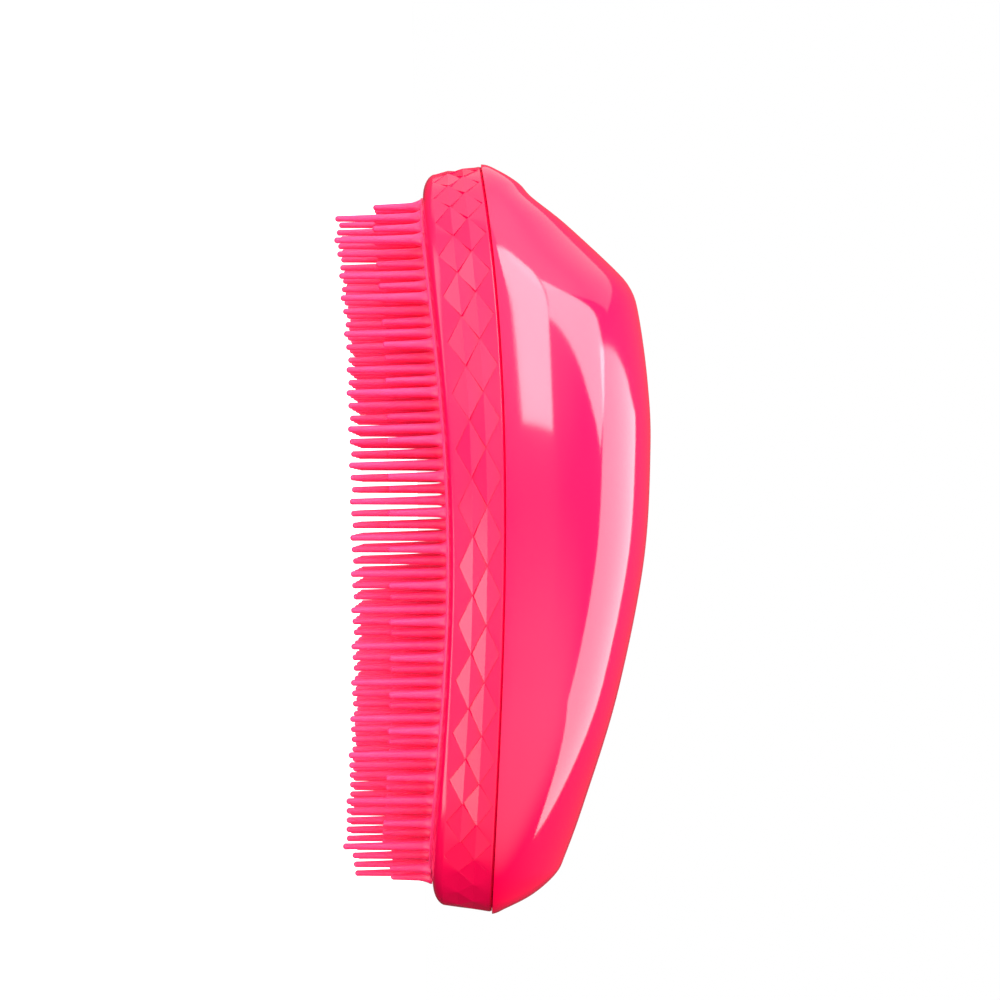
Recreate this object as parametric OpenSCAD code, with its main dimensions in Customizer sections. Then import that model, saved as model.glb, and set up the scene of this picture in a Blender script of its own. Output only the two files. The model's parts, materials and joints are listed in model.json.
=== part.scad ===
// Palm-held detangling hairbrush: a hollow cover, a skirt band, a flexible tooth pad
// and two tiers of slim flexible teeth. +X points to the toe (the lip end), +Z to the
// cover. The origin is under the centre, in the plane of the lowest tooth tips.

/* [Body] */
// Length of the brush, toe to heel
body_l = 115; // [105:1:125]
// Width of the brush across the band
body_w = 70; // [64:1:76]
// Height of the seam between band and cover, at the toe and heel
seam_z = 22.2; // [21:0.1:24]
// How much narrower the toe is than the heel, as a share of the width
egg = 0.1; // [0:0.01:0.18]
// Squareness of the plan outline, 2 is an ellipse
plan_power = 2.3; // [2:0.1:2.8]

/* [Cover] */
// Height of the cover's top above the seam ends
dome_h = 25.3; // [20:0.1:30]
// Wall thickness of the cover
cover_wall = 2.2; // [1.6:0.1:3]
// Squareness of the cover's cross arch at the toe, 2 is an ellipse
arch_power = 2.6; // [2.2:0.1:3]

/* [Band and pad] */
// Height of the band from the seam to its lower edge
band_h = 8.9; // [8:0.1:10]
// Distance that the band's lower edge is set in from the seam
band_inset = 4.5; // [3.5:0.1:5.5]
// Width of the shadow groove under the cover's rim
seam_groove = 0.3; // [0.2:0.05:0.5]
// Thickness of the flexible pad
pad_t = 1.5; // [1.2:0.1:2]
// How far the pad stands proud of the band's lower edge
pad_proud = 0.4; // [0.2:0.1:0.6]

/* [Teeth] */
// Number of moving groups of rows
groups = 20; // [17:1:20]
// Distance between two tooth columns
column_pitch = 2.4; // [2.3:0.01:2.8]
// Radius of a tooth at its root
root_r = 0.72; // [0.6:0.01:0.8]
// Radius of a tooth's round tip
tip_r = 0.45; // [0.35:0.01:0.5]
// How much shorter the short teeth are
tier_step = 5.7; // [5:0.1:7]
// Clear space above the roots that lets a group lean
root_gap = 0.6; // [0.55:0.05:0.8]

/* [Hidden] */

half_l = body_l / 2;
half_w = body_w / 2;
width_share = 0.9905;  // makes the egg outline's widest place body_w wide
stations = 40;         // cross sections along the length
arch_steps = 20;       // steps across the cover's arch
ring_steps = 2 * stations; // steps around the band, in line with the stations
seam_bow = 16.8;       // strength of the seam's lengthwise bow
seam_skew = 9.8;       // how far that bow leans to the toe
profile_h = 25.3;      // height that the cover's profile is drawn at
band_lean = 0.15;      // inward lean of the band's side, as a share of its height
band_corner = 0.21;    // height of the band's rounded lower corner, as a share of its own
side_corner = 0.08;    // and halfway along the sides, where it is sharper
pad_x = 0.3;           // centre of the pad along X
pad_half_l = half_l - 4.8;
edge_power = 1.15;     // fullness of the pad's lengthwise arch
edge_rise = 3.5;       // rise of the pad's arch at the middle
pad_margin = 1.4;      // pad edge to the outermost tooth axis
first_row_x = half_l - 6.8;
last_row_x = 6.3 - half_l;
group_rows = 3;        // tooth rows that move together, one fewer at the toe and heel
rows = groups * group_rows - 2;
stagger = 3;           // after this many rows the columns line up again
level_rows = 3;        // rows at the toe whose long tips all touch the ground
tip_rise = 2.1;        // rise of the long tips at mid-length
rise_power = 3;        // squareness of that rise along the length
heel_rise = 1.2;       // extra rise of the last rows at the heel
heel_zone = 4;         // length of the stretch that these rows fill
ledge_in = 2.7;        // width of the ledge that the pad bears on
seat_play = 0.1;       // play around the pad in its seat
seam_play = 0.05;      // play between the cover's rim and the band
tongue_h = 2;          // band's locating tongue inside the cover
tongue_t = 1.2;
tongue_in = 3.6;       // inset of the tongue's outer face
wall_in = 3.4;         // inset of the band wall's inner face
seat_in = band_inset + 0.4;              // inset of the pad's seat
seat_up = pad_t - pad_proud + seat_play; // height of the seat above the band's edge
frame_w = 4;           // width of the frame behind the pad
frame_h = 3.4;         // its height over the seat

function row_name(g) = str("tooth_row_", g < 10 ? "0" : "", g);

// Share of the way from toe (0) to heel (1)
function along(x) = (half_l - x) / body_l;

// Half width of the plan outline, for an outline set in by d
function plan_w(x, d) =
    let (c = max(-1, min(1, x / (half_l - d))))
    (half_w - d) * pow(1 - pow(abs(c), plan_power), 1 / plan_power) * (1 - egg * c)
    * width_share;

// Height of the seam and of the band's lower edge
function seam(x) = let (u = along(x)) seam_z + u * (1 - u) * (seam_bow - seam_skew * u);
function edge_sine(x) =
    let (v = max(0, min(1, (pad_x + pad_half_l - x) / (2 * pad_half_l))))
    pow(sin(180 * v), edge_power);
function pad_edge(x) = seam_z - band_h + edge_rise * edge_sine(x);

// Lengthwise profile of the cover: [distance from the toe, height over the seam ends]
profile = [
    [0, 0], [1.2, 2.9], [3.2, 5.9], [5.4, 7.9], [9.5, 13], [16, 19.8],
    [19.6, 22.7], [24, 23.9], [34, 25.05], [44, 25.3], [61, 24], [81, 19.7], [98, 14.4],
    [106, 11.5], [109, 10], [112, 6.6], [114, 2.6], [115, 0]
];
function tangent(i) =
    i == 0 ? [0.05, 3.2]
    : i == len(profile) - 1 ? [0.05, -3.2]
    : (profile[i + 1] - profile[i - 1]) / 2;
function hermite(i, t) =
    (2 * t * t * t - 3 * t * t + 1) * profile[i]
    + (t * t * t - 2 * t * t + t) * tangent(i)
    + (3 * t * t - 2 * t * t * t) * profile[i + 1]
    + (t * t * t - t * t) * tangent(i + 1);
curve = [
    for (i = [0:len(profile) - 2], t = [0:0.125:0.999]) hermite(i, t),
    profile[len(profile) - 1]
];
function height_over_ends(s) = lookup(s, curve) * dome_h / profile_h;

// Squareness of the cross arch, at distance s from the toe: a flatter nose, a fuller back
// and a rounder heel
function ease(a, b, v) = let (t = max(0, min(1, (v - a) / (b - a)))) t * t * (3 - 2 * t);
function arch_at(s) =
    arch_power
    - 0.5 * ease(2, 12, s) + 0.6 * ease(12, 24, s)
    + 0.5 * ease(24, 80, s) - 1.5 * ease(80, 115, s);

// Cosine-spaced stations, so that the round ends get the closest ones
function station_x(i, d) = (half_l - d) * cos(180 * i / stations);

// One arched cross section of the cover, for a surface set in by d
function signed_pow(v, p) = sign(v) * pow(abs(v), p);
function cover_top(x, d) =
    let (s = (half_l - x * half_l / (half_l - d)))
    seam_z + height_over_ends(s) * (1 - d / dome_h);
function cover_arch(i, d) =
    let (
        x = station_x(i, d),
        w = plan_w(x, d),
        z0 = seam(station_x(i, 0)),
        rise = cover_top(x, d) - z0,
        power = 2 / arch_at(half_l - station_x(i, 0))
    )
    [
        for (k = [0:arch_steps])
            let (a = 180 * k / arch_steps)
            [x, w * signed_pow(cos(a), power), z0 + rise * pow(sin(a), power)]
    ];

// Faces of a grid of nr rows by nc columns that starts at point o
function grid_faces(nr, nc, o, flip) = [
    for (r = [0:nr - 2], c = [0:nc - 2])
        let (a = o + r * nc + c, b = a + 1, d = a + nc, e = d + 1)
        each flip ? [[a, d, b], [b, d, e]] : [[a, b, d], [b, e, d]]
];

module cover_shell() {
    arch_count = arch_steps + 1;
    inner = arch_count * (stations - 1);
    tips = 2 * inner;
    last = arch_count * (stations - 2);
    outer_pts = [for (i = [1:stations - 1]) each cover_arch(i, 0)];
    inner_pts = [for (i = [1:stations - 1]) each cover_arch(i, cover_wall)];
    tip_pts = [
        [half_l, 0, seam_z], [-half_l, 0, seam_z],
        [half_l - cover_wall, 0, seam_z], [cover_wall - half_l, 0, seam_z]
    ];
    caps = [
        for (k = [0:arch_steps - 1]) each [
            [tips, k + 1, k],
            [tips + 1, last + k, last + k + 1],
            [tips + 2, inner + k, inner + k + 1],
            [tips + 3, inner + last + k + 1, inner + last + k]
        ]
    ];
    rim = [
        for (i = [0:stations - 3], side = [0, arch_steps])
            let (a = i * arch_count + side, b = a + arch_count, c = a + inner, d = b + inner)
            each side == 0 ? [[a, b, c], [b, d, c]] : [[a, c, b], [b, c, d]]
    ];
    ends = [
        [tips, 0, inner], [tips, inner, tips + 2],
        [tips, inner + arch_steps, arch_steps], [tips, tips + 2, inner + arch_steps],
        [tips + 1, inner + last, last], [tips + 1, tips + 3, inner + last],
        [tips + 1, last + arch_steps, inner + last + arch_steps],
        [tips + 1, inner + last + arch_steps, tips + 3]
    ];
    color("#ff3a7d")
        polyhedron(
            concat(outer_pts, inner_pts, tip_pts),
            concat(
                grid_faces(stations - 1, arch_count, 0, false),
                grid_faces(stations - 1, arch_count, inner, true),
                caps, rim, ends
            )
        );
}

// A ring swept around the plan outline. Each section point is [inset, share of the way
// from the seam (0) to the band's lower edge (1), height added], and may end with the
// inset at the sides where that differs from the one at the toe and heel.
function ring_point(a, p) =
    let (
        side = len(p) > 3 ? p[3] : p[0],
        d = side + (p[0] - side) * pow(cos(a), 4),
        x = (half_l - d) * cos(a),
        y = sign(sin(a)) * plan_w(x, d),
        x_rim = half_l * cos(a),
        x_pad = d > band_inset ? x * half_l / (half_l - seat_in) : x_rim
    )
    [x, y, seam(x_rim) * (1 - p[1]) + pad_edge(x_pad) * p[1] + p[2]];

module swept_ring(section) {
    n = len(section);
    pts = [for (i = [0:ring_steps - 1], p = section) ring_point(360 * i / ring_steps, p)];
    faces = [
        for (i = [0:ring_steps - 1], k = [0:n - 1])
            let (
                j = (i + 1) % ring_steps,
                m = (k + 1) % n,
                a = i * n + k, b = i * n + m, c = j * n + k, d = j * n + m
            )
            each [[a, c, b], [b, c, d]]
    ];
    polyhedron(pts, faces);
}

// Outer profile of the band: a slight lean and then a rounded lower corner
function band_in(t, corner) =
    let (lean = band_lean * band_h, u = max(0, 1 + (t - 1) / corner))
    seam_groove + lean * t + (band_inset - lean - seam_groove) * (1 - sqrt(1 - u * u));

module base_band() {
    outer = [
        for (t = [0, 0.4, 0.79, 0.88, 0.94, 0.98, 1])
            [band_in(t, band_corner), t, t == 0 ? -seam_play : 0, band_in(t, side_corner)]
    ];
    color("#ff4f88")
        swept_ring(concat(
            outer,
            [
                [seat_in, 1, 0],
                [seat_in, 1, seat_up],
                [seat_in + ledge_in, 1, seat_up],
                [seat_in + ledge_in, 1, seat_up + 1.2],
                [wall_in, 1, seat_up + 1.4],
                [wall_in, 0, -2.2],
                [tongue_in + tongue_t, 0, -0.8],
                [tongue_in + tongue_t, 0, tongue_h],
                [tongue_in, 0, tongue_h],
                [tongue_in, 0, -seam_play]
            ]
        ));
}

// A stiff frame that bears on the back of the pad, inside the ledge's opening
module pad_retainer() {
    rim_in = seat_in + ledge_in + 0.15;
    color("#c9c9cf")
        swept_ring([
            [rim_in + frame_w, 1, seat_up + frame_h],
            [rim_in + frame_w / 3, 1, seat_up + frame_h],
            [rim_in, 1, seat_up + frame_h / 2],
            [rim_in, 1, seat_up],
            [rim_in + frame_w, 1, seat_up]
        ]);
}

module tooth_pad() {
    n = stations - 1;
    inset = seat_in + seat_play;
    bevel = 0.35;
    pts = [
        for (i = [1:n])
            let (
                x = station_x(i, inset),
                w = plan_w(x, inset),
                z = pad_edge(station_x(i, 0)) - pad_proud
            )
            each [
                [x, -w + bevel, z], [x, w - bevel, z], [x, w, z + pad_proud],
                [x, w, z + pad_t], [x, -w, z + pad_t], [x, -w, z + pad_proud]
            ]
    ];
    sides = [
        for (i = [0:n - 2], k = [0:5])
            let (a = i * 6 + k, b = i * 6 + (k + 1) % 6, c = a + 6, d = b + 6)
            each [[a, b, c], [b, d, c]]
    ];
    ends = [
        for (k = [1:4]) each [
            [0, k + 1, k],
            [(n - 1) * 6, (n - 1) * 6 + k, (n - 1) * 6 + k + 1]
        ]
    ];
    color("#ff5c92") polyhedron(pts, concat(sides, ends));
}

// Place of tooth row k, counted from the toe
function row_x(k) = first_row_x + (last_row_x - first_row_x) * k / (rows - 1);
function root_z(x) =
    pad_edge(x * half_l / (half_l - seat_in)) - pad_proud - root_gap;
function long_tip_z(x) =
    tip_rise * max(0, 1 - pow(abs(x) / row_x(level_rows), rise_power))
    + (x < last_row_x + heel_zone ? heel_rise : 0);

module tooth(length) {
    shoulder = length - tip_r;
    rotate_extrude($fn = 24)
        union() {
            polygon([[0, 0], [root_r, 0], [tip_r, -shoulder], [0, -shoulder]]);
            intersection() {
                translate([0, -shoulder]) circle(r = tip_r, $fn = 24);
                translate([0, -length - 1]) square([2, length + 1]);
            }
        }
}

module tooth_row(g) {
    first = (g - 1) * group_rows - 1;
    for (k = [max(0, first):min(rows, first + group_rows) - 1]) {
        x = row_x(k);
        reach = plan_w(x, seat_in) - pad_margin;
        last_column = floor(reach / column_pitch);
        for (c = [-last_column:last_column])
            if ((c - k) % stagger == 0) {
                y = c * column_pitch;
                short = c % 2 != 0 || k < 1;
                tip = long_tip_z(x) + (short ? tier_step : 0);
                translate([x, y, root_z(x)]) tooth(root_z(x) - tip);
            }
    }
}

cover_shell();
base_band();
pad_retainer();
tooth_pad();
for (g = [1:groups])
    color("#ff4a86") tooth_row(g);
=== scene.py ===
import json
import math

import bmesh
import bpy
import numpy as np
from mathutils import Matrix, Vector


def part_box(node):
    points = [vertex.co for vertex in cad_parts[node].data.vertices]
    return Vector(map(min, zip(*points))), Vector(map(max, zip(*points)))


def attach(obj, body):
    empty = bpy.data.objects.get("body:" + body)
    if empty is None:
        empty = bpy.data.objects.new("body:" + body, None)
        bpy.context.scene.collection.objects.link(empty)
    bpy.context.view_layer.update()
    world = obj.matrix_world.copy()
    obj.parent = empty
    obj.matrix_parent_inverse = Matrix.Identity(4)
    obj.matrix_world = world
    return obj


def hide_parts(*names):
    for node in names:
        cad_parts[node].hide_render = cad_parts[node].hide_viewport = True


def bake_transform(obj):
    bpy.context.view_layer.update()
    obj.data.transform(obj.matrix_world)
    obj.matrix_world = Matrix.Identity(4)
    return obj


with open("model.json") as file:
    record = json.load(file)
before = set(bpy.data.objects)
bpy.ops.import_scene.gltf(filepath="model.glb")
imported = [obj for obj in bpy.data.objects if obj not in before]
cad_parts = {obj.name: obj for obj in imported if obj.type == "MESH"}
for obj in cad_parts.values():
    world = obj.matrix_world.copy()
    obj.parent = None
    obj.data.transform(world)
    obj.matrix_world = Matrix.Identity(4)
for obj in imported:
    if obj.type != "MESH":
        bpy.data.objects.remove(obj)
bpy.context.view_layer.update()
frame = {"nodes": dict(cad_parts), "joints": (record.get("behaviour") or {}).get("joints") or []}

# ---------------------------------------------------------------- sizes, in metres
MM = 0.001
COVER_LOW, COVER_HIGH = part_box("cover_shell")
BAND_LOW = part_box("base_band")[0]
HALF_L = COVER_HIGH.x
HALF_W = 35 * MM
SEAM_Z = COVER_LOW.z
SEAM_BOW = 16.8 * MM          # strength of the seam's lengthwise bow
SEAM_SKEW = 9.8 * MM          # how far that bow leans to the toe
DOME_H = 25.3 * MM
EGG = 0.1                     # how much narrower the toe is than the heel
PLAN_POWER = 2.3              # squareness of the plan outline, 2 is an ellipse
WIDTH_SHARE = 0.9905          # makes the outline's widest place twice HALF_W wide
ARCH_POWER = 2.6              # squareness of the cover's cross arch at the toe
BAND_H = SEAM_Z - BAND_LOW.z
BAND_INSET = 4.5 * MM         # distance that the band's lower edge is set in
BAND_LEAN = 0.15 * BAND_H
BAND_CORNER = 0.21            # height of the band's rounded corner, as a share of its own
SIDE_CORNER = 0.08            # and halfway along the sides
SEAM_GROOVE = 0.3 * MM
PAD_PROUD = 0.4 * MM
PAD_T = 1.5 * MM
PAD_BEVEL = 0.35 * MM
SEAT_IN = BAND_INSET + 0.4 * MM
SEAT_PLAY = 0.1 * MM
EDGE_RISE = 3.5 * MM          # rise of the pad's lengthwise arch at the middle
EDGE_POWER = 1.15             # and its fullness
PAD_X = 0.3 * MM
PAD_HALF_L = HALF_L - 4.8 * MM
ROOT_GAP = 0.6 * MM           # clear space above the CAD's tooth roots

# Lengthwise profile of the cover: distance from the toe and height over the seam ends
PROFILE = np.array([
    (0, 0), (1.2, 2.9), (3.2, 5.9), (5.4, 7.9), (9.5, 13), (16, 19.8),
    (19.6, 22.7), (24, 23.9), (34, 25.05), (44, 25.3), (61, 24), (81, 19.7), (98, 14.4),
    (106, 11.5), (109, 10), (112, 6.6), (114, 2.6), (115, 0),
]) * MM


def profile_curve(steps=24):
    """The profile as a dense smooth curve through its points."""
    tangents = np.zeros_like(PROFILE)
    tangents[1:-1] = (PROFILE[2:] - PROFILE[:-2]) / 2
    tangents[0] = (0.05 * MM, 3.2 * MM)
    tangents[-1] = (0.05 * MM, -3.2 * MM)
    points = []
    for i in range(len(PROFILE) - 1):
        for t in np.linspace(0, 1, steps, endpoint=False):
            a = 2 * t**3 - 3 * t**2 + 1
            b = t**3 - 2 * t**2 + t
            c = 3 * t**2 - 2 * t**3
            d = t**3 - t**2
            points.append(
                a * PROFILE[i] + b * tangents[i] + c * PROFILE[i + 1] + d * tangents[i + 1]
            )
    points.append(PROFILE[-1])
    return np.array(points)


CURVE = profile_curve()


def plan_w(x, inset=0.0):
    """Half width of the plan outline, for an outline set in by inset."""
    c = max(-1.0, min(1.0, x / (HALF_L - inset)))
    outline = (1 - abs(c) ** PLAN_POWER) ** (1 / PLAN_POWER)
    return (HALF_W - inset) * outline * (1 - EGG * c) * WIDTH_SHARE


def seam(x):
    u = (HALF_L - x) / (2 * HALF_L)
    return SEAM_Z + u * (1 - u) * (SEAM_BOW - SEAM_SKEW * u)


def pad_edge(x):
    v = max(0.0, min(1.0, (PAD_X + PAD_HALF_L - x) / (2 * PAD_HALF_L)))
    return SEAM_Z - BAND_H + EDGE_RISE * math.sin(math.pi * v) ** EDGE_POWER


def pad_surface(x):
    """Height of the pad's tooth side."""
    return pad_edge(x * HALF_L / (HALF_L - SEAT_IN)) - PAD_PROUD


def smooth_step(a, b, v):
    t = max(0.0, min(1.0, (v - a) / (b - a)))
    return t * t * (3 - 2 * t)


# ---------------------------------------------------------------- mesh helpers
def mesh_object(name, points, faces, smooth=True):
    """A linked mesh. smooth is True, False or one value for each face."""
    mesh = bpy.data.meshes.new(name)
    mesh.from_pydata([tuple(p) for p in points], [], faces)
    if smooth is True:
        mesh.polygons.foreach_set("use_smooth", [True] * len(mesh.polygons))
    elif smooth is not False:
        mesh.polygons.foreach_set("use_smooth", smooth)
    mesh.update()
    obj = bpy.data.objects.new(name, mesh)
    bpy.context.scene.collection.objects.link(obj)
    return obj


def fix_normals(obj):
    bm = bmesh.new()
    bm.from_mesh(obj.data)
    bmesh.ops.recalc_face_normals(bm, faces=bm.faces)
    bm.to_mesh(obj.data)
    bm.free()


def ring_faces(rings, count, start=0):
    """Quads between closed rings that each hold count points."""
    faces = []
    for r in range(rings - 1):
        for k in range(count):
            a = start + r * count + k
            b = start + r * count + (k + 1) % count
            faces.append((a, b, b + count, a + count))
    return faces


# ---------------------------------------------------------------- materials
def new_material(name):
    material = bpy.data.materials.new(name)
    material.use_nodes = True
    tree = material.node_tree
    return material, tree, tree.nodes["Principled BSDF"]


def object_noise(tree, scale, detail=3.0, rough=0.55):
    coords = tree.nodes.new("ShaderNodeTexCoord")
    noise = tree.nodes.new("ShaderNodeTexNoise")
    noise.inputs["Scale"].default_value = scale
    noise.inputs["Detail"].default_value = detail
    noise.inputs["Roughness"].default_value = rough
    tree.links.new(coords.outputs["Object"], noise.inputs["Vector"])
    return noise


def colour_variation(tree, shader, noise, low, high):
    ramp = tree.nodes.new("ShaderNodeValToRGB")
    ramp.color_ramp.elements[0].position = 0.3
    ramp.color_ramp.elements[1].position = 0.7
    ramp.color_ramp.elements[0].color = (*low, 1)
    ramp.color_ramp.elements[1].color = (*high, 1)
    tree.links.new(noise.outputs["Fac"], ramp.inputs["Fac"])
    tree.links.new(ramp.outputs["Color"], shader.inputs["Base Color"])


def roughness_variation(tree, shader, noise, low, high):
    spread = tree.nodes.new("ShaderNodeMapRange")
    spread.inputs["To Min"].default_value = low
    spread.inputs["To Max"].default_value = high
    tree.links.new(noise.outputs["Fac"], spread.inputs["Value"])
    tree.links.new(spread.outputs["Result"], shader.inputs["Roughness"])


def bump(tree, shader, noise, strength, distance):
    node = tree.nodes.new("ShaderNodeBump")
    node.inputs["Strength"].default_value = strength
    node.inputs["Distance"].default_value = distance
    tree.links.new(noise.outputs["Fac"], node.inputs["Height"])
    tree.links.new(node.outputs["Normal"], shader.inputs["Normal"])


# The darker and the lighter colour that each moulding varies between
COVER_COLOURS = ((0.93, 0.001, 0.054), (0.96, 0.0015, 0.062))
BAND_COLOURS = ((0.7, 0.001, 0.05), (0.74, 0.0015, 0.057))
TOOTH_COLOURS = ((0.95, 0.02, 0.122), (0.98, 0.024, 0.134))
GRAIN_H = 0.02 * MM           # height of the mouldings' fine grain


def cover_material():
    material, tree, shader = new_material("cover_gloss_pink")
    colour_variation(tree, shader, object_noise(tree, 9), *COVER_COLOURS)
    roughness_variation(tree, shader, object_noise(tree, 60, 4), 0.07, 0.11)
    bump(tree, shader, object_noise(tree, 900, 2), 0.03, GRAIN_H)
    shader.inputs["IOR"].default_value = 1.75
    return material


def band_material():
    material, tree, shader = new_material("band_satin_pink")
    colour_variation(tree, shader, object_noise(tree, 12), *BAND_COLOURS)
    roughness_variation(tree, shader, object_noise(tree, 80, 4), 0.15, 0.2)
    bump(tree, shader, object_noise(tree, 2200, 2), 0.05, GRAIN_H)
    shader.inputs["IOR"].default_value = 1.6
    return material


def tooth_material():
    material, tree, shader = new_material("tooth_elastomer_pink")
    colour_variation(tree, shader, object_noise(tree, 150), *TOOTH_COLOURS)
    roughness_variation(tree, shader, object_noise(tree, 400, 3), 0.34, 0.42)
    bump(tree, shader, object_noise(tree, 3000, 2), 0.06, GRAIN_H)
    shader.inputs["Subsurface Weight"].default_value = 0.7
    shader.inputs["Subsurface Radius"].default_value = (1.0, 0.3, 0.5)
    shader.inputs["Subsurface Scale"].default_value = 2 * MM
    return material


def retainer_material():
    material, tree, shader = new_material("retainer_grey")
    colour_variation(tree, shader, object_noise(tree, 40), (0.3, 0.3, 0.31), (0.36, 0.36, 0.37))
    roughness_variation(tree, shader, object_noise(tree, 90), 0.45, 0.6)
    bump(tree, shader, object_noise(tree, 1500), 0.1, 1.5 * GRAIN_H)
    return material


COVER_PINK = cover_material()
BAND_PINK = band_material()
TOOTH_PINK = tooth_material()


def dress(obj, material):
    obj.data.materials.clear()
    obj.data.materials.append(material)


# ---------------------------------------------------------------- cover
COVER_WALL = 2.2 * MM
STATIONS = 160
ARCH_STEPS = 96
RIM_ROUND = 0.25 * MM


def arch_power(x):
    """Squareness of the cross arch: a flatter nose, a fuller back and a rounder heel."""
    s = HALF_L - x
    return (
        ARCH_POWER
        - 0.5 * smooth_step(2 * MM, 12 * MM, s) + 0.6 * smooth_step(12 * MM, 24 * MM, s)
        + 0.5 * smooth_step(24 * MM, 80 * MM, s) - 1.5 * smooth_step(80 * MM, 115 * MM, s)
    )


def cover_height(x, inset):
    s = HALF_L - x * HALF_L / (HALF_L - inset)
    return SEAM_Z + np.interp(s, CURVE[:, 0], CURVE[:, 1]) * (1 - inset / DOME_H)


def cover_point(alpha, phi, inset):
    x = (HALF_L - inset) * math.cos(alpha)
    base = seam(HALF_L * math.cos(alpha))
    rise = cover_height(x, inset) - base
    power = 2 / arch_power(HALF_L * math.cos(alpha))
    across = math.copysign(abs(math.cos(phi)) ** power, math.cos(phi))
    up = max(0.0, math.sin(phi)) ** power
    return (x, plan_w(x, inset) * across, base + rise * up)


def cover_loop(alpha, phis):
    """One closed cross section: up over the outer arch and back along the inner one."""
    outer = [cover_point(alpha, phi, 0) for phi in phis]
    inner = [cover_point(alpha, phi, COVER_WALL) for phi in reversed(phis)]
    return outer + inner


def make_cover():
    phis = [math.pi * k / ARCH_STEPS for k in range(ARCH_STEPS + 1)]
    alphas = [math.pi * (i + 0.5) / STATIONS for i in range(STATIONS)]
    count = 2 * (ARCH_STEPS + 1)
    points = [p for alpha in alphas for p in cover_loop(alpha, phis)]
    faces = ring_faces(STATIONS, count)
    # close each end over the rim's tip
    for ring, inner_x in ((0, 1), (STATIONS - 1, -1)):
        o = len(points)
        x_out = HALF_L * inner_x
        x_in = (HALF_L - COVER_WALL) * inner_x
        points += [(x_out, 0, SEAM_Z), (x_in, 0, SEAM_Z)]
        base = ring * count
        for k in range(ARCH_STEPS):
            faces.append((o, base + k, base + k + 1))
            faces.append((o + 1, base + ARCH_STEPS + 1 + k, base + ARCH_STEPS + 2 + k))
        faces.append((o, o + 1, base + count - 1, base))
        faces.append((o, base + ARCH_STEPS, base + ARCH_STEPS + 1, o + 1))
    obj = mesh_object("cover_shell_surface", points, faces)
    fix_normals(obj)
    rim = obj.modifiers.new("rim", "BEVEL")
    rim.width = RIM_ROUND
    rim.segments = 3
    rim.limit_method = "ANGLE"
    rim.angle_limit = math.radians(50)
    dress(obj, COVER_PINK)
    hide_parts("cover_shell")
    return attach(obj, "brush")


# ---------------------------------------------------------------- faceted band
DIAMONDS = 41                 # diamonds around the whole band
COLUMN_T = (0.83, 0.577, 0.323, 0.07)  # lattice columns, from the pad's side to the seam
PHASE = 0.17                  # turn of the lattice from the toe, in diamonds
FACET_INSET = 0.015           # share of a diamond that its rounded border takes
FACET_RIDGE = 0.4 * MM
FACET_FADE = (-0.9, -0.74)    # where the facets fade at the heel, as shares of the half length
SUBSTEPS = 6                  # margin points for each diamond


def corner_inset(t, corner):
    """Inset of the band's side: a slight lean and then a rounded lower corner."""
    u = max(0.0, 1 + (t - 1) / corner)
    depth = 1 - math.sqrt(max(0.0, 1 - u * u))
    return SEAM_GROOVE + BAND_LEAN * t + (BAND_INSET - BAND_LEAN - SEAM_GROOVE) * depth


def band_inset(t, alpha):
    """The corner is rounder at the toe and heel than halfway along the sides."""
    side = corner_inset(t, SIDE_CORNER)
    return side + (corner_inset(t, BAND_CORNER) - side) * math.cos(alpha) ** 4


def band_point(turn, t, lift=0.0):
    """A point on the band: turn counts diamonds from the toe, t runs from seam to pad."""
    alpha = 2 * math.pi * (turn + PHASE) / DIAMONDS
    inset = band_inset(t, alpha) - lift
    x = (HALF_L - inset) * math.cos(alpha)
    x_rim = HALF_L * math.cos(alpha)
    y = math.copysign(plan_w(x, inset), math.sin(alpha))
    return (x, y, seam(x_rim) * (1 - t) + pad_edge(x_rim) * t)


def facet_share(turn):
    """How strong the facets are: they fade out at the heel."""
    x = math.cos(2 * math.pi * (turn + PHASE) / DIAMONDS)
    return smooth_step(*FACET_FADE, x)


def add_diamond(points, faces, corners):
    """corners are (turn, t) pairs: tip, side, tip, side. Two flat faces fold along the tips."""
    centre = np.mean(corners, axis=0)
    share = facet_share(centre[0])
    first = len(points)
    points += [band_point(*c) for c in corners]
    for n, corner in enumerate(corners):
        turn, t = centre + (np.array(corner) - centre) * (1 - FACET_INSET)
        ridge = FACET_RIDGE / 2 if n % 2 == 0 else -FACET_RIDGE / 2
        points.append(band_point(turn, t, ridge * share))
    a, b, c, d = range(first + 4, first + 8)
    faces += [(a, b, c), (a, c, d)]
    for n in range(4):
        m = (n + 1) % 4
        faces.append((first + n, first + m, first + 4 + m, first + 4 + n))


def make_facets():
    points, faces = [], []
    t_a, t_b, t_c, t_d = COLUMN_T
    for k in range(DIAMONDS):
        add_diamond(points, faces, [(k, t_b), (k + 0.5, t_a), (k + 1, t_b), (k + 0.5, t_c)])
        add_diamond(points, faces, [(k + 0.5, t_c), (k + 1, t_b), (k + 1.5, t_c), (k + 1, t_d)])
    obj = mesh_object("base_band_facets", points, faces, smooth=False)
    fix_normals(obj)
    dress(obj, BAND_PINK)
    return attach(obj, "brush")


def margin_rows(levels):
    """Rows of points around the band at each level of t. The groove fades at both ends."""
    rows = []
    for t, inset_more, rise in levels:
        row = []
        for k in range(DIAMONDS * SUBSTEPS):
            turn = k / SUBSTEPS
            end_share = min(1.0, 4 * abs(math.sin(2 * math.pi * (turn + PHASE) / DIAMONDS)))
            groove = inset_more * end_share if t < 0.1 and inset_more < MM else inset_more
            x, y, z = band_point(turn, t, -groove)
            row.append((x, y, z + rise))
        rows.append(row)
    return rows


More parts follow.
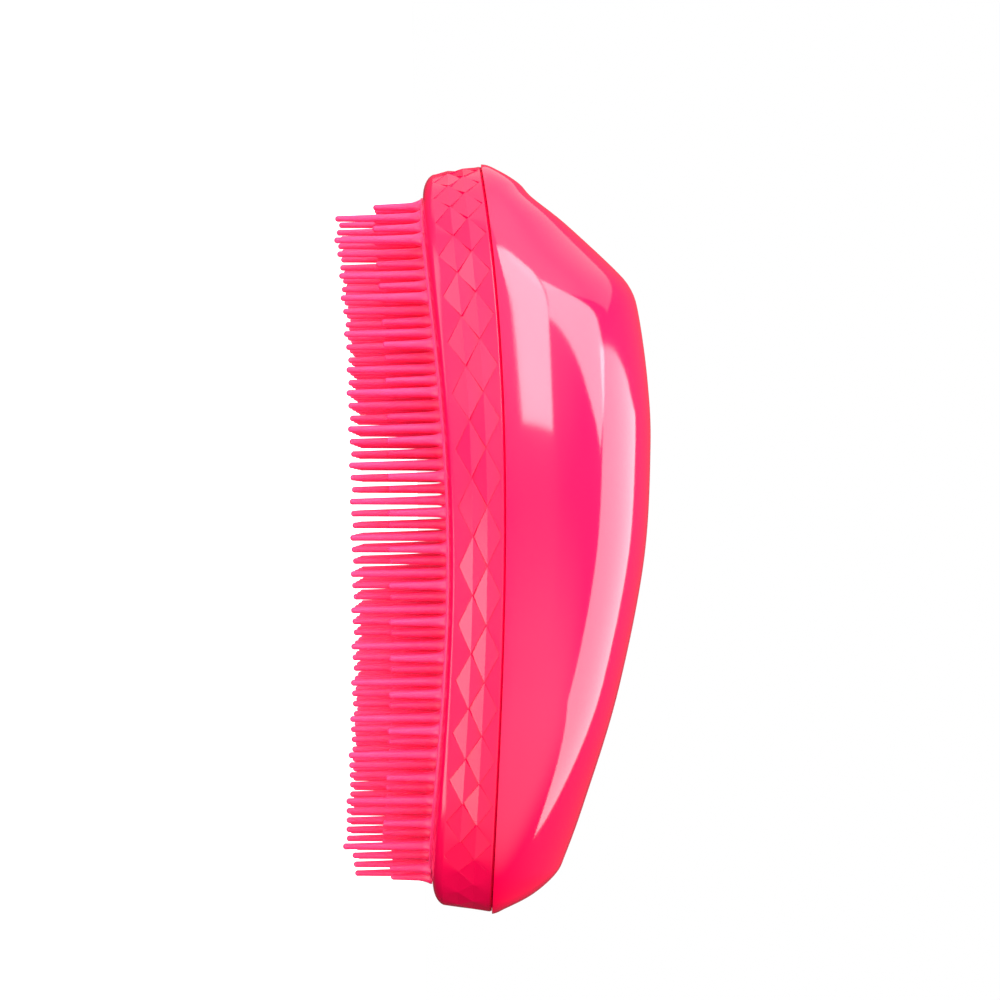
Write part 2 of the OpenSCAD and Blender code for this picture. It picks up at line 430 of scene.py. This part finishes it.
def add_fans(points, faces, row_start, t_near, offset):
    """Fill the triangles between the lattice points and the straight margin."""
    count = DIAMONDS * SUBSTEPS
    for k in range(DIAMONDS):
        tip = len(points)
        points.append(band_point(k + offset + 0.5, t_near))
        for m in range(SUBSTEPS):
            a = (int((k + offset) * SUBSTEPS) + m) % count
            b = (a + 1) % count
            faces.append((tip, row_start + a, row_start + b))


def make_margins():
    """The smooth rims of the band on both sides of its facets, and the seam groove."""
    points, faces, smooth = [], [], []
    count = DIAMONDS * SUBSTEPS
    t_a, t_b, t_c, t_d = COLUMN_T
    corner = (0.87, 0.905, 0.935, 0.96, 0.978, 0.99, 0.997, 1)
    lower = [(t, 0, 0) for t in (t_a, *corner)]
    lower += [(1, 0.15 * MM, 0.02 * MM), (1, 0.35 * MM, 0.15 * MM), (1, 0.4 * MM, 1.2 * MM)]
    upper = [(t_d, 0, 0), (0.05, 0, 0), (0.04, 0.02 * MM, 0), (0.033, 0.08 * MM, 0)]
    upper += [(0.03, 0.3 * MM, 0), (0, 0.35 * MM, -0.05 * MM), (0, 2.6 * MM, -0.05 * MM)]
    for levels, t_near, offset in ((lower, t_b, 0.5), (upper, t_c, 0)):
        start = len(points)
        for row in margin_rows(levels):
            points += row
        faces += ring_faces(len(levels), count, start)
        smooth += [True] * (len(faces) - len(smooth))
        add_fans(points, faces, start, t_near, offset)
        smooth += [False] * (len(faces) - len(smooth))
    obj = mesh_object("base_band_margins", points, faces, smooth)
    fix_normals(obj)
    dress(obj, BAND_PINK)
    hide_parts("base_band")
    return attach(obj, "brush")


# ---------------------------------------------------------------- pad
def make_pad():
    """A thin arched plate with a bevelled edge that stands proud of the band."""
    inset = SEAT_IN + SEAT_PLAY
    steps = 120
    count = 24
    edge = [(PAD_BEVEL, 0), (0.12 * MM, 0.08 * MM), (0, PAD_BEVEL), (0, PAD_T)]
    points, faces = [], []
    for i in range(steps + 1):
        alpha = math.pi * (i + 0.5) / (steps + 1)
        x = (HALF_L - inset) * math.cos(alpha)
        w = plan_w(x, inset)
        z = pad_surface(x)
        row = [(x, -w + d, z + h) for d, h in reversed(edge)]
        span = w - PAD_BEVEL
        row += [(x, span * (2 * k / count - 1), z) for k in range(1, count)]
        row += [(x, w - d, z + h) for d, h in edge]
        points += row
    width = count - 1 + 2 * len(edge)
    faces = ring_faces(steps + 1, width)
    faces += [tuple(range(width)), tuple(range(steps * width, (steps + 1) * width))]
    obj = mesh_object("tooth_pad_surface", points, faces)
    fix_normals(obj)
    dress(obj, TOOTH_PINK)
    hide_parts("tooth_pad")
    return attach(obj, "brush")


# ---------------------------------------------------------------- teeth
TOOTH_SIDES = 16
ROOT_R = 0.72 * MM
TIP_R = 0.45 * MM
FLARE_R = 0.43 * MM           # how much wider a tooth is where it leaves the pad
FLARE_H = 1.3 * MM


def teeth_of(node):
    """Centre, root height and tip height of each tooth of a CAD node."""
    bm = bmesh.new()
    bm.from_mesh(frame["nodes"][node].data)
    bmesh.ops.remove_doubles(bm, verts=bm.verts, dist=1e-6)
    left = set(bm.verts)
    teeth = []
    while left:
        stack = [left.pop()]
        island = []
        while stack:
            v = stack.pop()
            island.append(v.co.copy())
            for e in v.link_edges:
                other = e.other_vert(v)
                if other in left:
                    left.remove(other)
                    stack.append(other)
        low = [min(p[i] for p in island) for i in range(3)]
        high = [max(p[i] for p in island) for i in range(3)]
        teeth.append(((low[0] + high[0]) / 2, (low[1] + high[1]) / 2, high[2], low[2]))
    bm.free()
    return sorted(teeth)


def tooth_profile(length):
    """Radius and depth pairs from the flared root to the round tip."""
    shoulder = length - TIP_R
    stem = [(ROOT_R + (TIP_R - ROOT_R) * s, s * shoulder) for s in (0.3, 0.5, 0.7, 0.85, 0.95)]
    root = []
    for k in range(5):
        s = k / 4
        root.append((ROOT_R + FLARE_R * (1 - s) ** 1.7, FLARE_H * s))
    tip = []
    for k in range(6):
        a = math.pi / 2 * k / 6
        tip.append((TIP_R * 1.03 * math.cos(a), shoulder + TIP_R * math.sin(a)))
    return [(root[0][0], -0.3 * MM)] + root + stem + tip


def add_tooth(points, faces, x, y, z_root, z_tip):
    profile = tooth_profile(z_root - z_tip)
    start = len(points)
    for r, depth in profile:
        for k in range(TOOTH_SIDES):
            a = 2 * math.pi * k / TOOTH_SIDES
            points.append((x + r * math.cos(a), y + r * math.sin(a), z_root - depth))
    faces += ring_faces(len(profile), TOOTH_SIDES, start)
    end = len(points)
    points.append((x, y, z_tip))
    last = start + (len(profile) - 1) * TOOTH_SIDES
    for k in range(TOOTH_SIDES):
        faces.append((last + k, last + (k + 1) % TOOTH_SIDES, end))


def make_tooth_row(joint):
    node = joint["child"]
    points, faces = [], []
    for x, y, z_top, z_tip in teeth_of(node):
        add_tooth(points, faces, x, y, z_top + ROOT_GAP, z_tip)
    obj = mesh_object(node + "_flexible", points, faces)
    fix_normals(obj)
    dress(obj, TOOTH_PINK)
    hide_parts(node)
    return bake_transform(obj)


# ---------------------------------------------------------------- build the brush
make_cover()
make_facets()
make_margins()
make_pad()
for joint in frame["joints"]:
    make_tooth_row(joint)
dress(frame["nodes"]["pad_retainer"], retainer_material())

# ---------------------------------------------------------------- camera
CAMERA_DISTANCE = 0.62
SENSOR = 36
VIEW_WIDTH = 154 * MM         # width of the view at the brush
ROLL = math.radians(0.844)    # the brush leans a little in the view
AIM = Vector((5.93, 0, 24.37)) * MM


def make_camera():
    """Square on to the brush's side, with the toe up and the cover to the right."""
    data = bpy.data.cameras.new("camera")
    data.sensor_width = SENSOR
    data.lens = SENSOR * CAMERA_DISTANCE / VIEW_WIDTH
    data.clip_start = 0.01
    camera = bpy.data.objects.new("camera", data)
    bpy.context.scene.collection.objects.link(camera)
    right = Vector((-math.sin(ROLL), 0, math.cos(ROLL)))
    up = Vector((math.cos(ROLL), 0, math.sin(ROLL)))
    back = right.cross(up)
    turn = Matrix((right, up, back)).transposed().to_4x4()
    camera.matrix_world = Matrix.Translation(AIM + back * CAMERA_DISTANCE) @ turn
    bpy.context.scene.camera = camera


# ---------------------------------------------------------------- lights and floor
LIGHT_DISTANCE = 0.6
FLOOR_HALF = 0.6
FLOOR_DROP = 0.6 * MM
# The room, as soft lobes: direction, the cosines where a lobe starts and is full, level
ROOM_LIGHT = [((0, 0, 1), -3, -2, 0.2), ((0.75, 0.2, 0.63), -0.8, 0.4, 1.4)]
ROOM_REFLECTED = [
    ((0.75, 0.2, 0.63), -0.8, 0.4, 0.15),
    ((0.85, 0.5, 0.1), 0.6, 1, 0.55),
    ((-0.7, 0.7, 0.2), 0.5, 1, 0.75),
]


def make_softbox(name, bearing, off_axis, turn, size, power):
    """A soft rectangular light that faces the brush.

    bearing runs from +Z (0) to +X (90), off_axis from +Y (0) to -Y (180), in degrees;
    turn spins the rectangle about the line to the brush.
    """
    data = bpy.data.lights.new(name, "AREA")
    data.shape = "RECTANGLE"
    data.size, data.size_y = size
    data.energy = power
    light = bpy.data.objects.new(name, data)
    bpy.context.scene.collection.objects.link(light)
    b, o = math.radians(bearing), math.radians(off_axis)
    back = Vector((math.sin(o) * math.sin(b), math.cos(o), math.sin(o) * math.cos(b)))
    across = back.cross(Vector((1, 0, 0))).normalized()
    along = across.cross(back).normalized()
    spin = Matrix.Rotation(math.radians(turn), 4, "Z")
    turn_matrix = Matrix((along, across, along.cross(across))).transposed().to_4x4()
    light.matrix_world = Matrix.Translation(AIM + back * LIGHT_DISTANCE) @ turn_matrix @ spin
    light.visible_camera = False
    return light


def make_floor():
    """A plain pale floor under the teeth. It lets the lights below it reach the band."""
    corners = [(-1, -1), (1, -1), (1, 1), (-1, 1)]
    points = [(FLOOR_HALF * x, FLOOR_HALF * y, -FLOOR_DROP) for x, y in corners]
    floor = mesh_object("floor", points, [(0, 1, 2, 3)], False)
    material, tree, shader = new_material("floor_pale")
    shader.inputs["Base Color"].default_value = (0.4, 0.4, 0.4, 1)
    shader.inputs["Roughness"].default_value = 0.9
    shader.inputs["Emission Color"].default_value = (1, 1, 1, 1)
    shader.inputs["Emission Strength"].default_value = 0.95
    floor.data.materials.append(material)
    floor.visible_diffuse = False
    floor.visible_glossy = False
    floor.visible_shadow = False


def add_lobe(tree, toward, low, high, level):
    """A value that rises from 0 to level as the direction turns toward a vector."""
    coords = tree.nodes.new("ShaderNodeTexCoord")
    facing = tree.nodes.new("ShaderNodeVectorMath")
    facing.operation = "DOT_PRODUCT"
    facing.inputs[1].default_value = Vector(toward).normalized()
    tree.links.new(coords.outputs["Generated"], facing.inputs[0])
    lobe = tree.nodes.new("ShaderNodeMapRange")
    lobe.interpolation_type = "SMOOTHSTEP"
    lobe.inputs["From Min"].default_value = low
    lobe.inputs["From Max"].default_value = high
    lobe.inputs["To Max"].default_value = level
    tree.links.new(facing.outputs["Value"], lobe.inputs["Value"])
    return lobe.outputs["Result"]


def add_values(tree, values):
    """The sum of the values, by a chain of add nodes."""
    total = values[0]
    for value in values[1:]:
        add = tree.nodes.new("ShaderNodeMath")
        tree.links.new(total, add.inputs[0])
        tree.links.new(value, add.inputs[1])
        total = add.outputs["Value"]
    return total


def switch(tree, test, if_not, if_so=None):
    """if_so (1 if none is given) where test is 1, and if_not where it is 0."""
    choice = tree.nodes.new("ShaderNodeMapRange")
    tree.links.new(test, choice.inputs["Value"])
    tree.links.new(if_not, choice.inputs["To Min"])
    if if_so is not None:
        tree.links.new(if_so, choice.inputs["To Max"])
    return choice.outputs["Result"]


def make_world():
    """White behind the brush. To the brush, a soft room that is brighter over the toe."""
    world = bpy.data.worlds.new("studio")
    world.use_nodes = True
    tree = world.node_tree
    background = tree.nodes["Background"]
    background.inputs["Color"].default_value = (1, 1, 1, 1)
    light = add_values(tree, [add_lobe(tree, *lobe) for lobe in ROOM_LIGHT])
    mirrored = add_values(tree, [add_lobe(tree, *lobe) for lobe in ROOM_REFLECTED])
    path = tree.nodes.new("ShaderNodeLightPath")
    room = switch(tree, path.outputs["Is Glossy Ray"], light, mirrored)
    shown = switch(tree, path.outputs["Is Camera Ray"], room)
    tree.links.new(shown, background.inputs["Strength"])
    bpy.context.scene.world = world
    bpy.context.scene.view_settings.view_transform = "Standard"


make_camera()
make_floor()
make_world()
# behind and over the cover: the long arc of light down its shoulder
make_softbox("softbox_back", -12, 99, -23, (0.73, 0.65), 4.7)
# in front, towards the toe: the leg of light beside the seam
make_softbox("softbox_toe", 74, 47, -8, (0.52, 0.19), 1.65)
# the bridge between them
make_softbox("softbox_bridge", 40, 70, -45, (0.23, 0.58), 1.8)
# over the toe: a wide, dim light
make_softbox("softbox_top", 75, 108, 0, (0.9, 0.9), 1.6)
# in front, on the teeth's side: they pick out the band's facets
make_softbox("softbox_low_toe", 133, 60, 15, (0.41, 0.26), 0.65)
make_softbox("softbox_low_heel", 208, 50, -14, (0.67, 0.26), 2)
# plain fill from the front, which isn't mirrored in the gloss
make_softbox("softbox_fill", 90, 12, 0, (0.5, 0.5), 2.4).visible_glossy = False
